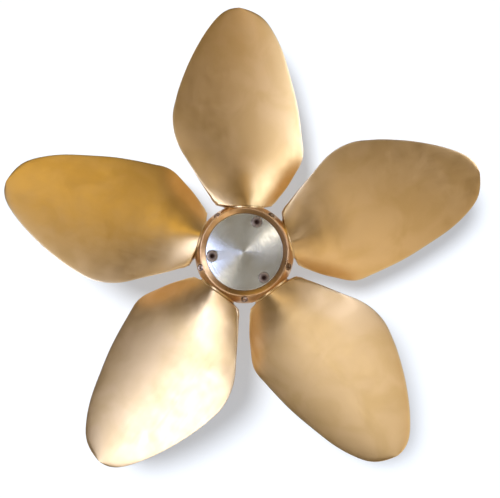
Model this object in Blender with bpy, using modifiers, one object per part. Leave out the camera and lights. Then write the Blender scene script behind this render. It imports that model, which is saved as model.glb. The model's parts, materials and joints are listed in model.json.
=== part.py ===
"""Five-blade feathering ship propeller, lying on the forward face of its hub.

Metres, +Z up. The shaft axis is +Z and points aft, so the aft end with the anode is on top.
The origin is on the shaft axis in the forward face of the hub, where the shaft enters.
"""
import math

import bmesh
import bpy
from mathutils import Matrix

MM = 0.001

# Whole propeller
BLADE_COUNT = 5
FIRST_BLADE_AZIMUTH = math.radians(90)
BLADE_SPACING = math.radians(360 / BLADE_COUNT)
BLADE_PLANE_Z = 115 * MM
AHEAD_PITCH = math.radians(17)
TIP_RADIUS = 399 * MM

# Running gaps, and how far a cutter reaches past what it cuts
SEAT_GAP = 0.3 * MM
TURNING_GAP = 0.5 * MM
OVERSHOOT = 5 * MM

# Hub, a ball at the blade roots with a neck at each end
BALL_RADIUS = 79 * MM
NECK_RADIUS = 68 * MM
FORWARD_FACE_RADIUS = 56 * MM
HUB_BORE_RADIUS = 40.3 * MM
AFT_HALF_TOP = 50 * MM
HUB_EDGE = 2 * MM
HUB_SIDES = 48
BALL_STEPS = 4

# Blade roots and their sockets, measured outward from the shaft axis
PILOT_RADIUS = 27 * MM
FLANGE_RADIUS = 37 * MM
PALM_RADIUS = 32 * MM
PILOT_START = 44 * MM
FLANGE_START = 55 * MM
FLANGE_END = 60.5 * MM
PALM_END = 74 * MM
BUSH_START = 61 * MM
BUSH_END = 70.6 * MM
BUSH_WALL = 2.2 * MM
ROOT_SIDES = 32
SOCKET_SIDES = 36

# Blade, from its drawing: distance out from the shaft axis, then how far the leading and the
# trailing edge stand from the turning axis
BLADE_EDGES = [
    (75.3, 36, 36), (76.3, 42.5, 42.5), (79.5, 47.5, 47.5), (92, 59.5, 57), (106, 71, 67), (133, 88.5, 84.5),
    (146, 96.5, 93), (158, 101.5, 101), (171, 103, 108), (185, 101.5, 113), (212, 98.5, 116.5),
    (245, 93.5, 110.5), (292, 81.5, 94.5), (332, 69, 75.5), (363, 53.5, 56.5), (388, 32, 35),
]
TIP_OFFSET = 7 * MM
# Blade thickness at the middle of the chord
BLADE_THICKNESS = [(75, 20), (110, 19), (160, 16), (220, 12.5), (280, 9.5), (340, 7), (385, 5), (399, 4)]
EDGE_THICKNESS = 3 * MM
# The ridge along the middle of the root: distance, height, slope of its flanks, rounding of its crest
ROOT_RIDGE = [(75, 23, 0.43, 8), (82, 21.2, 0.375, 8.5), (90, 19, 0.32, 10.5), (100, 16.4, 0.265, 14),
              (112, 14, 0.215, 17), (126, 11.6, 0.175, 28), (142, 10.5, 0.16, 40), (175, 9, 0.16, 60)]
RIDGE_FADE = (125, 178)
EDGE_BLUNTNESS = 8
BLADE_STATIONS = [75.3, 76.3, 79.5, 85, 92, 102, 114, 128, 144, 158, 171, 185, 205, 230, 258, 288,
                  316, 338, 352, 365, 376, 384, 390, 395, 398]

# Bolts that clamp the two halves of the hub, one between each two blades
BOLT_CIRCLE = 71.5 * MM
BOLT_RADIUS = 3 * MM
BOLT_HEAD_RADIUS = 5 * MM
BOLT_HEAD_HEIGHT = 6 * MM
BOLT_SEAT = 14 * MM
BOLT_LENGTH = 36 * MM
BOLT_POCKET_RADIUS = 5.6 * MM
BOLT_KEY = 5 * MM
BOLT_KEY_DEPTH = 3.5 * MM
FASTENER_SIDES = 16

# Cap on the aft end, with the anode let into it
CAP_RADIUS = 67.4 * MM
CAP_TOP = 70 * MM
CAP_OUTER_EDGE = 2 * MM
RECESS_FLOOR = 57 * MM
RECESS_RADIUS = 58.6 * MM
RECESS_LIP = 4.4 * MM
CAP_CREST_RADIUS = 65 * MM
ANODE_RADIUS = 58.2 * MM
ANODE_EDGE_TOP = 65.6 * MM
ANODE_CENTRE_TOP = 66.8 * MM
ANODE_CENTRE_RADIUS = 2 * MM
ANODE_EDGE = 1 * MM

# Three countersunk screws that hold the anode
SCREW_COUNT = 3
SCREW_CIRCLE = 49 * MM
FIRST_SCREW_AZIMUTH = math.radians(67)
SCREW_RADIUS = 4 * MM
SCREW_HEAD_RADIUS = 7.6 * MM
SCREW_HEAD_HEIGHT = 4.4 * MM
SCREW_SUNK = 1.2 * MM
SCREW_TIP = 51.5 * MM
SCREW_KEY = 5 * MM
SCREW_KEY_DEPTH = 3 * MM

# Boss that the shaft is keyed to, with a 1:10 taper
BOSS_RADIUS = 40 * MM
BOSS_BOTTOM = 2 * MM
BOSS_TOP = 127 * MM
TAPER_LARGE_RADIUS = 25 * MM
TAPER_PER_LENGTH = 0.05
KEYWAY_WIDTH = 14 * MM
KEYWAY_DEPTH = 4.5 * MM
BOSS_EDGE = 1.5 * MM

# Colour and roughness of each metal
BRUSHED_BRONZE = ((0.58, 0.41, 0.19), 0.35)
TURNED_BRONZE = ((0.55, 0.33, 0.16), 0.3)
TURNED_ZINC = ((0.56, 0.57, 0.57), 0.4)
STAINED_STEEL = ((0.42, 0.38, 0.34), 0.45)
BEARING_BRONZE = ((0.30, 0.20, 0.10), 0.45)

MERGE_DISTANCE = 0.01 * MM
SHARP_ANGLE = math.radians(35)


def clear_scene():
    for item in list(bpy.data.objects):
        bpy.data.objects.remove(item, do_unlink=True)


def make_collection(name):
    collection = bpy.data.collections.new(name)
    bpy.context.scene.collection.children.link(collection)
    return collection


def make_metal(name, finish):
    colour, roughness = finish
    material = bpy.data.materials.new(name)
    material.use_nodes = True
    shader = material.node_tree.nodes["Principled BSDF"]
    shader.inputs["Base Color"].default_value = (*colour, 1)
    shader.inputs["Roughness"].default_value = roughness
    shader.inputs["Metallic"].default_value = 1
    return material


def add_object(name, mesh, collection, material=None):
    item = bpy.data.objects.new(name, mesh)
    collection.objects.link(item)
    if material and not mesh.materials:
        mesh.materials.append(material)
    return item


def mesh_from(form, name):
    bmesh.ops.recalc_face_normals(form, faces=form.faces)
    mesh = bpy.data.meshes.new(name)
    form.to_mesh(mesh)
    form.free()
    return mesh


def turned(name, profile, collection, material=None, sides=HUB_SIDES, closed=False):
    """Turn a profile of (radius, height) points, listed down its outer side, about local Z."""
    mesh = bpy.data.meshes.new(name)
    edges = [(i, i + 1) for i in range(len(profile) - 1)]
    if closed:
        edges.append((len(profile) - 1, 0))
    mesh.from_pydata([(radius, 0, height) for radius, height in profile], edges, [])
    item = add_object(name, mesh, collection, material)
    screw = item.modifiers.new("turn", "SCREW")
    screw.steps = screw.render_steps = sides
    screw.use_merge_vertices = True
    screw.merge_threshold = MERGE_DISTANCE
    screw.use_smooth_shade = False
    return item


def cut(item, cutters):
    for cutter in cutters:
        boolean = item.modifiers.new("cut " + cutter.name, "BOOLEAN")
        boolean.operation = "DIFFERENCE"
        boolean.object = cutter


def mark_cutter(item):
    item.hide_render = True
    item.display_type = "WIRE"
    return item


def hexagon(name, across_flats, bottom, top, collection):
    """An upright hexagonal prism between two heights."""
    form = bmesh.new()
    radius = across_flats / math.sqrt(3)
    bmesh.ops.create_cone(form, cap_ends=True, segments=6, radius1=radius, radius2=radius,
                          depth=top - bottom, matrix=Matrix.Translation((0, 0, (top + bottom) / 2)))
    return add_object(name, mesh_from(form, name), collection)


def blade_azimuth(number):
    return FIRST_BLADE_AZIMUTH + number * BLADE_SPACING


def gap_azimuth(number):
    return blade_azimuth(number) - BLADE_SPACING / 2


def screw_azimuth(number):
    return FIRST_SCREW_AZIMUTH + number * math.radians(360 / SCREW_COUNT)


def place_outward(item, azimuth):
    """Lay an object's local Z along a blade's turning axis."""
    item.matrix_world = (Matrix.Translation((0, 0, BLADE_PLANE_Z))
                         @ Matrix.Rotation(azimuth, 4, "Z")
                         @ Matrix.Rotation(math.radians(90), 4, "Y"))


def place_on_circle(item, circle, azimuth, height):
    item.location = (circle * math.cos(azimuth), circle * math.sin(azimuth), height)
    item.rotation_euler = (0, 0, azimuth)


def ball_profile(direction):
    """The ball of the hub from the blade plane to where the neck begins, as (radius, height)."""
    end = math.acos(NECK_RADIUS / BALL_RADIUS)
    angles = [end * step / BALL_STEPS for step in range(BALL_STEPS + 1)]
    return [(BALL_RADIUS * math.cos(a), direction * BALL_RADIUS * math.sin(a)) for a in angles]


def socket_cutter(number, collection):
    """The stepped socket of one blade root, wide enough for its flange and its bush."""
    neck = PALM_RADIUS + TURNING_GAP + BUSH_WALL + SEAT_GAP
    flange = FLANGE_RADIUS + TURNING_GAP
    pilot = PILOT_RADIUS + TURNING_GAP
    start = BALL_RADIUS + OVERSHOOT
    profile = [(0, start), (neck, start), (neck, FLANGE_END + SEAT_GAP),
               (flange, FLANGE_END + SEAT_GAP), (flange, FLANGE_START - SEAT_GAP),
               (pilot, FLANGE_START - SEAT_GAP), (pilot, PILOT_START - TURNING_GAP),
               (0, PILOT_START - TURNING_GAP)]
    cutter = turned(f"socket_cutter_{number + 1}", profile, collection, sides=SOCKET_SIDES)
    place_outward(cutter, blade_azimuth(number))
    return mark_cutter(cutter)


def bolt_cutter(number, collection):
    """The clearance hole and the open pocket of one hub bolt."""
    hole = BOLT_RADIUS + SEAT_GAP
    start = CAP_TOP + OVERSHOOT
    end = BOLT_SEAT - BOLT_LENGTH - TURNING_GAP
    profile = [(0, start), (BOLT_POCKET_RADIUS, start), (BOLT_POCKET_RADIUS, BOLT_SEAT),
               (hole, BOLT_SEAT), (hole, end), (0, end)]
    cutter = turned(f"bolt_cutter_{number + 1}", profile, collection, sides=FASTENER_SIDES)
    place_on_circle(cutter, BOLT_CIRCLE, gap_azimuth(number), BLADE_PLANE_Z)
    return mark_cutter(cutter)


def make_hub_half(name, profile, collection, material, cutters):
    item = turned(name, profile, collection, material, closed=True)
    item.location.z = BLADE_PLANE_Z
    cut(item, cutters)
    return item


def make_hub(collection, material, sockets, bolts):
    split = SEAT_GAP / 2
    ball_aft = [(radius, max(height, split)) for radius, height in ball_profile(1)]
    aft = [(HUB_BORE_RADIUS, AFT_HALF_TOP), (NECK_RADIUS - HUB_EDGE / 2, AFT_HALF_TOP),
           (NECK_RADIUS, AFT_HALF_TOP - HUB_EDGE / 2)]
    aft += ball_aft[::-1] + [(HUB_BORE_RADIUS, split)]
    make_hub_half("hub_aft_half", aft, collection, material, sockets + bolts)

    ball_forward = [(radius, min(height, -split)) for radius, height in ball_profile(-1)]
    face = -BLADE_PLANE_Z
    forward = [(HUB_BORE_RADIUS, -split)] + ball_forward
    forward += [(FORWARD_FACE_RADIUS, face + HUB_EDGE), (FORWARD_FACE_RADIUS - HUB_EDGE, face),
                (HUB_BORE_RADIUS, face)]
    make_hub_half("hub_forward_half", forward, collection, material, sockets + bolts)


def slope_at(points, i):
    """The slope at one point of a smooth curve, from the chords on both sides of it."""
    chords = [points[j:j + 2] for j in (max(i - 1, 0), min(i, len(points) - 2))]
    (width_before, before), (width_after, after) = [
        (x1 - x0, (y1 - y0) / (x1 - x0)) for (x0, y0), (x1, y1) in chords]
    return (before * width_after + after * width_before) / (width_before + width_after)


def smooth_value(points, x):
    """Read a smooth curve through points of rising x, by cubic Hermite pieces."""
    x = min(max(x, points[0][0]), points[-1][0])
    i = max(j for j in range(len(points) - 1) if points[j][0] <= x)
    (x0, y0), (x1, y1) = points[i:i + 2]
    width = x1 - x0
    t = (x - x0) / width
    rise = (1 + 2 * t) * (1 - t) ** 2 * y0 + t * t * (3 - 2 * t) * y1
    return rise + width * (t * (1 - t) ** 2 * slope_at(points, i) + t * t * (t - 1) * slope_at(points, i + 1))


def edge_offset(distance, column):
    """How far an edge stands from the turning axis. The square root makes the tip round."""
    tip = TIP_RADIUS / MM
    tip_offset = TIP_OFFSET / MM * (-1 if column == 1 else 1)
    points = [(-math.sqrt(tip - row[0]), row[column]) for row in BLADE_EDGES] + [(0, tip_offset)]
    return smooth_value(points, -math.sqrt(tip - distance)) * MM


def ridge_at(distance):
    return [smooth_value([(row[0], row[column]) for row in ROOT_RIDGE], distance) for column in (1, 2, 3)]


def flat_share(distance):
    """How far the ridged root has given way to the flat blade, from 0 to 1."""
    start, end = RIDGE_FADE
    t = min(max((distance - start) / (end - start), 0), 1)
    return t * t * (3 - 2 * t)


def blade_section(distance):
    """One closed section of the blade, as (across, through) points round its edge."""
    leading = -edge_offset(distance, 1)
    trailing = edge_offset(distance, 2)
    middle = (leading + trailing) / 2
    half_chord = (trailing - leading) / 2
    edge = EDGE_THICKNESS / 2
    half_thickness = smooth_value(BLADE_THICKNESS, distance) / 2 * MM
    height, slope, rounding = ridge_at(distance)
    share = flat_share(distance)
    points = []
    for step in range(ROOT_SIDES):
        angle = 2 * math.pi * step / ROOT_SIDES
        across = middle + half_chord * math.cos(angle)
        rise = abs(math.sin(angle))
        plate = (half_thickness - edge) * rise ** 2 + edge * rise
        ridge = max(height * MM - slope * (math.hypot(across, rounding * MM) - rounding * MM), edge)
        ridge *= (1 - abs(math.cos(angle)) ** EDGE_BLUNTNESS) ** (1 / EDGE_BLUNTNESS)
        through = share * plate + (1 - share) * ridge
        points.append((across, math.copysign(through, math.sin(angle))))
    return points


def circle_section(radius):
    steps = [2 * math.pi * step / ROOT_SIDES for step in range(ROOT_SIDES)]
    return [(radius * math.cos(angle), radius * math.sin(angle)) for angle in steps]


def make_blade_mesh():
    """Loft the root's round steps and the blade's sections along the turning axis, local X."""
    sections = [(PILOT_START, circle_section(PILOT_RADIUS)), (FLANGE_START, circle_section(PILOT_RADIUS)),
                (FLANGE_START, circle_section(FLANGE_RADIUS)), (FLANGE_END, circle_section(FLANGE_RADIUS)),
                (FLANGE_END, circle_section(PALM_RADIUS)), (PALM_END, circle_section(PALM_RADIUS))]
    sections += [(distance * MM, blade_section(distance)) for distance in BLADE_STATIONS]
    form = bmesh.new()
    rings = [[form.verts.new((along, across, through)) for across, through in points]
             for along, points in sections]
    for inner, outer in zip(rings, rings[1:]):
        for i in range(ROOT_SIDES):
            j = (i + 1) % ROOT_SIDES
            form.faces.new((inner[i], inner[j], outer[j], outer[i]))
    form.faces.new(rings[0])
    tip = form.verts.new((TIP_RADIUS, TIP_OFFSET, 0))
    for i in range(ROOT_SIDES):
        form.faces.new((rings[-1][i], rings[-1][(i + 1) % ROOT_SIDES], tip))
    bmesh.ops.triangulate(form, faces=[face for face in form.faces if len(face.verts) == 4])
    mesh = mesh_from(form, "blade")
    mesh.shade_smooth()
    mesh.set_sharp_from_angle(angle=SHARP_ANGLE)
    return mesh


def make_blades(collection, material):
    mesh = make_blade_mesh()
    for number in range(BLADE_COUNT):
        blade = add_object(f"blade_{number + 1}", mesh, collection, material)
        blade.location.z = BLADE_PLANE_Z
        blade.rotation_euler = (AHEAD_PITCH, 0, blade_azimuth(number))


def make_bushes(collection, material):
    inner = PALM_RADIUS + TURNING_GAP
    outer = inner + BUSH_WALL
    profile = [(inner, BUSH_END), (outer, BUSH_END), (outer, BUSH_START), (inner, BUSH_START)]
    for number in range(BLADE_COUNT):
        bush = turned(f"root_bush_{number + 1}", profile, collection, material, SOCKET_SIDES, closed=True)
        place_outward(bush, blade_azimuth(number))


def make_hub_bolts(collection, cutter_collection, material):
    head = BOLT_SEAT + SEAT_GAP
    top = head + BOLT_HEAD_HEIGHT
    profile = [(0, top), (BOLT_HEAD_RADIUS, top), (BOLT_HEAD_RADIUS, head), (BOLT_RADIUS, head),
               (BOLT_RADIUS, BOLT_SEAT - BOLT_LENGTH), (0, BOLT_SEAT - BOLT_LENGTH)]
    for number in range(BLADE_COUNT):
        bolt = turned(f"hub_bolt_{number + 1}", profile, collection, material, FASTENER_SIDES)
        key = hexagon(f"bolt_key_{number + 1}", BOLT_KEY, top - BOLT_KEY_DEPTH, top + OVERSHOOT,
                      cutter_collection)
        for item in (bolt, key):
            place_on_circle(item, BOLT_CIRCLE, gap_azimuth(number), BLADE_PLANE_Z)
        cut(bolt, [mark_cutter(key)])


def anode_top(radius):
    slope = (ANODE_EDGE_TOP - ANODE_CENTRE_TOP) / (ANODE_RADIUS - ANODE_CENTRE_RADIUS)
    return ANODE_CENTRE_TOP + slope * (radius - ANODE_CENTRE_RADIUS)


def screw_cutter(number, collection):
    """Through the anode: a clearance hole with a countersink. In the cap: a blind hole."""
    face = anode_top(SCREW_CIRCLE)
    head_top = face - SCREW_SUNK
    gap = SEAT_GAP
    start = face + OVERSHOOT
    profile = [(0, start), (SCREW_HEAD_RADIUS + gap, start), (SCREW_HEAD_RADIUS + gap, head_top),
               (SCREW_RADIUS + gap, head_top - SCREW_HEAD_HEIGHT), (SCREW_RADIUS + gap, SCREW_TIP - gap),
               (0, SCREW_TIP - gap)]
    cutter = turned(f"screw_cutter_{number + 1}", profile, collection, sides=FASTENER_SIDES)
    place_on_circle(cutter, SCREW_CIRCLE, screw_azimuth(number), BLADE_PLANE_Z)
    return mark_cutter(cutter)


def make_aft_cap(collection, material, cutters):
    bottom = AFT_HALF_TOP + SEAT_GAP
    profile = [(0, RECESS_FLOOR), (RECESS_RADIUS, RECESS_FLOOR), (RECESS_RADIUS, CAP_TOP - RECESS_LIP),
               (CAP_CREST_RADIUS, CAP_TOP), (CAP_RADIUS - CAP_OUTER_EDGE, CAP_TOP),
               (CAP_RADIUS, CAP_TOP - CAP_OUTER_EDGE), (CAP_RADIUS, bottom + HUB_EDGE / 2),
               (CAP_RADIUS - HUB_EDGE / 2, bottom), (0, bottom)]
    cap = turned("aft_cap", profile, collection, material)
    cap.location.z = BLADE_PLANE_Z
    cut(cap, cutters)


def make_anode(collection, material, cutters):
    bottom = RECESS_FLOOR + SEAT_GAP
    profile = [(0, ANODE_CENTRE_TOP), (ANODE_CENTRE_RADIUS, ANODE_CENTRE_TOP),
               (ANODE_RADIUS - ANODE_EDGE, anode_top(ANODE_RADIUS - ANODE_EDGE)),
               (ANODE_RADIUS, ANODE_EDGE_TOP - ANODE_EDGE), (ANODE_RADIUS, bottom), (0, bottom)]
    anode = turned("anode", profile, collection, material)
    anode.location.z = BLADE_PLANE_Z
    cut(anode, cutters)


def make_anode_screws(collection, cutter_collection, material):
    top = anode_top(SCREW_CIRCLE) - SCREW_SUNK
    profile = [(0, top), (SCREW_HEAD_RADIUS, top), (SCREW_RADIUS, top - SCREW_HEAD_HEIGHT),
               (SCREW_RADIUS, SCREW_TIP), (0, SCREW_TIP)]
    for number in range(SCREW_COUNT):
        screw = turned(f"anode_screw_{number + 1}", profile, collection, material, FASTENER_SIDES)
        key = hexagon(f"screw_key_{number + 1}", SCREW_KEY, top - SCREW_KEY_DEPTH, top + OVERSHOOT,
                      cutter_collection)
        for item in (screw, key):
            place_on_circle(item, SCREW_CIRCLE, screw_azimuth(number), BLADE_PLANE_Z)
        cut(screw, [mark_cutter(key)])


def make_shaft_boss(collection, cutter_collection, material):
    length = BOSS_TOP - BOSS_BOTTOM
    small = TAPER_LARGE_RADIUS - TAPER_PER_LENGTH * length
    profile = [(small, BOSS_TOP), (BOSS_RADIUS - BOSS_EDGE, BOSS_TOP), (BOSS_RADIUS, BOSS_TOP - BOSS_EDGE),
               (BOSS_RADIUS, BOSS_BOTTOM + BOSS_EDGE), (BOSS_RADIUS - BOSS_EDGE, BOSS_BOTTOM),
               (TAPER_LARGE_RADIUS, BOSS_BOTTOM)]
    boss = turned("shaft_boss", profile, collection, material, SOCKET_SIDES, closed=True)
    form = bmesh.new()
    bmesh.ops.create_cube(form, size=1, matrix=Matrix.Diagonal((KEYWAY_WIDTH, 1, 1, 1)))
    depth = TAPER_LARGE_RADIUS + KEYWAY_DEPTH
    for vert in form.verts:
        vert.co.y = depth if vert.co.y > 0 else 0
        vert.co.z = BOSS_TOP + OVERSHOOT if vert.co.z > 0 else BOSS_BOTTOM - OVERSHOOT
        if vert.co.y > 0:
            vert.co.y -= TAPER_PER_LENGTH * (vert.co.z - BOSS_BOTTOM)
    key = add_object("keyway_cutter", mesh_from(form, "keyway_cutter"), cutter_collection)
    cut(boss, [mark_cutter(key)])


def main():
    clear_scene()
    parts = make_collection("feathering propeller")
    cutters = make_collection("cutters")
    brushed_bronze = make_metal("brushed bronze", BRUSHED_BRONZE)
    turned_bronze = make_metal("turned bronze", TURNED_BRONZE)
    zinc = make_metal("turned zinc", TURNED_ZINC)
    steel = make_metal("stained steel", STAINED_STEEL)
    bearing = make_metal("bearing bronze", BEARING_BRONZE)
    sockets = [socket_cutter(number, cutters) for number in range(BLADE_COUNT)]
    bolts = [bolt_cutter(number, cutters) for number in range(BLADE_COUNT)]
    screws = [screw_cutter(number, cutters) for number in range(SCREW_COUNT)]
    make_hub(parts, turned_bronze, sockets, bolts)
    make_blades(parts, brushed_bronze)
    make_bushes(parts, bearing)
    make_hub_bolts(parts, cutters, steel)
    make_aft_cap(parts, turned_bronze, screws + bolts)
    make_anode(parts, zinc, screws)
    make_anode_screws(parts, cutters, steel)
    make_shaft_boss(parts, cutters, turned_bronze)


main()
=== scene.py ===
# %% [markdown]
# # A feathering ship propeller
#
# A feathering propeller has blades that are cast one by one. Each blade ends in a round root that
# turns in a split bronze hub, so that under sail the blades can swing edge-on to the water. This
# one is seen from aft, along the shaft, with its grey anode disc facing the camera.
#
# The imported solids are the workshop drawing of it: they say where every piece is and how it moves.
# This lesson makes the fine surfaces over them, and then the metals, the light and the camera.
# We start by loading the solids, and a helper that reads the outer box of one of them.

# %% Load the solids
import json
import math

import bmesh
import bpy
from mathutils import Matrix, Vector


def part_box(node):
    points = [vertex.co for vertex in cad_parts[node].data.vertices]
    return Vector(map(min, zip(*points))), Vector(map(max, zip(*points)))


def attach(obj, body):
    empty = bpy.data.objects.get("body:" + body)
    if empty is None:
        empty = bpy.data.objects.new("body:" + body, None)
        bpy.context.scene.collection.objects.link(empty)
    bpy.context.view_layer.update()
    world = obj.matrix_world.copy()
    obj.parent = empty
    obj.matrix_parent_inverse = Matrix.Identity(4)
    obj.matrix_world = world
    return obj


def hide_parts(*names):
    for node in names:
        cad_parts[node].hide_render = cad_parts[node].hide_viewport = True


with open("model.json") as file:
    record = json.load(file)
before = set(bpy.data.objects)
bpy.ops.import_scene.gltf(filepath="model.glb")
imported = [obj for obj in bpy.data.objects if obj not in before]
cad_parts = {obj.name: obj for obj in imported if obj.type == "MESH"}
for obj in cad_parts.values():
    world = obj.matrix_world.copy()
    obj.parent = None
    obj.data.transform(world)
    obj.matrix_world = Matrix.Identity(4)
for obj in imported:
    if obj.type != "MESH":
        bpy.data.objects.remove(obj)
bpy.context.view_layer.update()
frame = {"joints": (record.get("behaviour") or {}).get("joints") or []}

# %% [markdown]
# The drawing is in millimetres and Blender works in metres, so one constant turns the one into the
# other. Two lengths are read from the solids: the height of the plane that the five blades turn
# in, which is where their joints are, and the reach of a blade tip.

# %% Driving sizes
MM = 0.001
BLADE_COUNT = 5
BLADE_PLANE = frame["joints"][0]["pos_m"][2]
TIP_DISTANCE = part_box("blade_1")[1].y
AHEAD_PITCH = math.radians(17)
SEAT_GAP = 0.3 * MM
TURNING_GAP = 0.5 * MM
OVERSHOOT = 5 * MM


def blade_azimuth(number):
    """The direction of one blade's turning axis, seen from aft. Blade 0 points along +Y."""
    return math.radians(90 + number * 360 / BLADE_COUNT)


def gap_azimuth(number):
    """The direction of the gap before one blade, where a hub bolt sits."""
    return blade_azimuth(number) - math.radians(180 / BLADE_COUNT)


print(f"blade plane {BLADE_PLANE / MM:.0f} mm, tips at {TIP_DISTANCE / MM:.0f} mm")

# %% [markdown]
# The camera comes next, because everything is judged through it. The photograph was taken from
# about three blade lengths away, almost straight down the shaft. It leans two and a half degrees
# towards the bottom of the picture, so the two lower blades look a little larger. The lens follows
# from how many pixels one millimetre takes up in the blade plane. The hub sits left of and below
# the middle of the picture, and a small lens shift puts it there without turning the camera.

# %% Place the camera
PICTURE_WIDTH = 500
PICTURE_HEIGHT = 498
HUB_PIXEL = (244.4, 253.8)
PIXELS_PER_MM = 0.6255
CAMERA_DISTANCE = 1120 * MM
CAMERA_LEAN = math.radians(2.6)
CAMERA_ROLL = math.radians(0.29)
SENSOR_WIDTH = 36

camera = bpy.data.objects.new("camera", bpy.data.cameras.new("camera"))
bpy.context.scene.collection.objects.link(camera)
bpy.context.scene.camera = camera
turn = Matrix.Rotation(CAMERA_LEAN, 4, "X") @ Matrix.Rotation(-CAMERA_ROLL, 4, "Z")
away = turn @ Vector((0, 0, CAMERA_DISTANCE))
camera.matrix_world = Matrix.Translation(Vector((0, 0, BLADE_PLANE)) + away) @ turn
camera.data.sensor_width = SENSOR_WIDTH
camera.data.lens = PIXELS_PER_MM / MM * CAMERA_DISTANCE * SENSOR_WIDTH / PICTURE_WIDTH
camera.data.shift_x = (PICTURE_WIDTH / 2 - HUB_PIXEL[0]) / PICTURE_WIDTH
camera.data.shift_y = (HUB_PIXEL[1] - PICTURE_HEIGHT / 2) / PICTURE_WIDTH
print(f"lens {camera.data.lens:.1f} mm")

# %% [markdown]
# Materials are built from small helpers. Colours are picked in a paint program as sRGB hex values,
# but the renderer counts light, so one function turns a hex value into linear light. Another adds
# a node: each setting is a value for an input, a socket to plug into it, or one of the node's own
# options. Options come first, because they decide which inputs a node has. Some nodes have inputs
# of the same name, and those are given by their number.

# %% Helpers for materials
NODE_ROW_START, NODE_SPACING = -2400, 200


def linear(hex_colour):
    """Turn an sRGB hex colour into linear red, green, blue and alpha."""
    channels = [int(hex_colour[start:start + 2], 16) / 255 for start in (1, 3, 5)]
    return (*[c / 12.92 if c <= 0.04045 else ((c + 0.055) / 1.055) ** 2.4 for c in channels], 1)


def socket(sockets, name):
    """Find a socket by its number, or by its name among those that are in use."""
    if isinstance(name, int):
        return sockets[name]
    return next(s for s in sockets if s.name == name and s.enabled)


def add_node(tree, kind, settings):
    """Add a node with its options, values and links, and hand back its first output in use."""
    node = tree.nodes.new("ShaderNode" + kind)
    node.location = (NODE_ROW_START + NODE_SPACING * len(tree.nodes), -NODE_SPACING)
    for name, value in settings.items():
        if isinstance(name, str) and name not in node.inputs:
            setattr(node, name, value)
        elif isinstance(value, bpy.types.NodeSocket):
            tree.links.new(value, socket(node.inputs, name))
        else:
            socket(node.inputs, name).default_value = value
    return next(s for s in node.outputs if s.enabled)


def new_metal(name, colour, roughness):
    """A metal on the Principled shader. Its IOR stays at the default.

    The colour and the roughness are what a viewer shows that can't read the nodes.
    """
    material = bpy.data.materials.new(name)
    material.use_nodes = True
    shader = material.node_tree.nodes["Principled BSDF"]
    shader.inputs["Metallic"].default_value = 1
    shader.inputs["Base Color"].default_value = linear(colour)
    shader.inputs["Roughness"].default_value = roughness
    return material, material.node_tree, shader


# %% [markdown]
# Blades of a propeller like this are cast in nickel aluminium bronze, then ground and brushed to a
# satin finish. Up close that gives fine straight lines that run out along the blade, clouds of
# slightly browner metal where a tarnish film starts, and pale edges that the last polish reached
# best. The pattern has to turn with each blade, so it reads an attribute that holds each point's
# place in the blade's own frame, in metres. Brushed lines are finer than a pixel of the picture,
# so they are drawn 1.6 mm apart, which is as fine as it can show.

# %% Satin nickel aluminium bronze
BLADE_BRIGHT = "#E1BB83"
BLADE_TARNISH = "#CBA25E"
BLADE_EDGE = "#E2C79A"
TARNISH_CLOUD = 60 * MM
SMUDGE = 16 * MM
BRUSH_SPACING = 1.6 * MM
BRUSH_LENGTH = 70 * MM
BRUSH_DEPTH = 0.035 * MM

satin_bronze, tree, shader = new_metal("satin nickel aluminium bronze", BLADE_BRIGHT, roughness=0.34)
place = add_node(tree, "Attribute", {"attribute_name": "blade_place"}).node.outputs["Vector"]
cloud = add_node(tree, "TexNoise", {"Vector": place, "Scale": 1 / TARNISH_CLOUD, "Detail": 3.0,
                                    "Distortion": 0.6})
film = add_node(tree, "MapRange", {"interpolation_type": "SMOOTHSTEP", "Value": cloud,
                                   "From Min": 0.35, "From Max": 0.70, "To Max": 0.45})
film_colour = add_node(tree, "Mix", {"data_type": "RGBA", "Factor": film,
                                     "A": linear(BLADE_BRIGHT), "B": linear(BLADE_TARNISH)})
wear = add_node(tree, "Attribute", {"attribute_name": "edge_wear"}).node.outputs["Fac"]
colour = add_node(tree, "Mix", {"data_type": "RGBA", "Factor": wear,
                                "A": film_colour, "B": linear(BLADE_EDGE)})
tree.links.new(colour, shader.inputs["Base Color"])
smudge = add_node(tree, "TexNoise", {"Vector": place, "Scale": 1 / SMUDGE, "Detail": 4.0})
stretch = add_node(tree, "Mapping", {"Vector": place,
                                     "Scale": (1 / BRUSH_LENGTH, 1 / BRUSH_SPACING, 1 / BRUSH_SPACING)})
brush = add_node(tree, "TexNoise", {"Vector": stretch, "Scale": 1.0, "Detail": 2.0})
both = add_node(tree, "Math", {"operation": "ADD", 0: smudge, 1: brush})
sheen = add_node(tree, "MapRange", {"Value": both, "From Min": 0.7, "From Max": 1.3,
                                    "To Min": 0.31, "To Max": 0.39})
tree.links.new(sheen, shader.inputs["Roughness"])
grooves = add_node(tree, "Bump", {"Height": brush, "Strength": 0.5, "Distance": BRUSH_DEPTH})
tree.links.new(grooves, shader.inputs["Normal"])
print(satin_bronze.name, "has", len(tree.nodes), "nodes")

# %% [markdown]
# The hub and its cap are turned on a lathe from a redder bronze. The tool leaves rings about the
# shaft axis, which depend only on how far a point is from that axis and how high it is. So the
# pattern reads one number, the distance from the axis plus the height, with some noise on it. Real
# rings are a few tenths of a millimetre apart, too fine to show, so they are drawn 1.4 mm apart.

# %% Turned bronze
TURNED_BRIGHT = "#E1B480"
TURNED_DULL = "#B88450"
LATHE_RING = 1.4 * MM
HAND_MARK = 22 * MM
RING_DEPTH = 0.05 * MM


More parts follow.
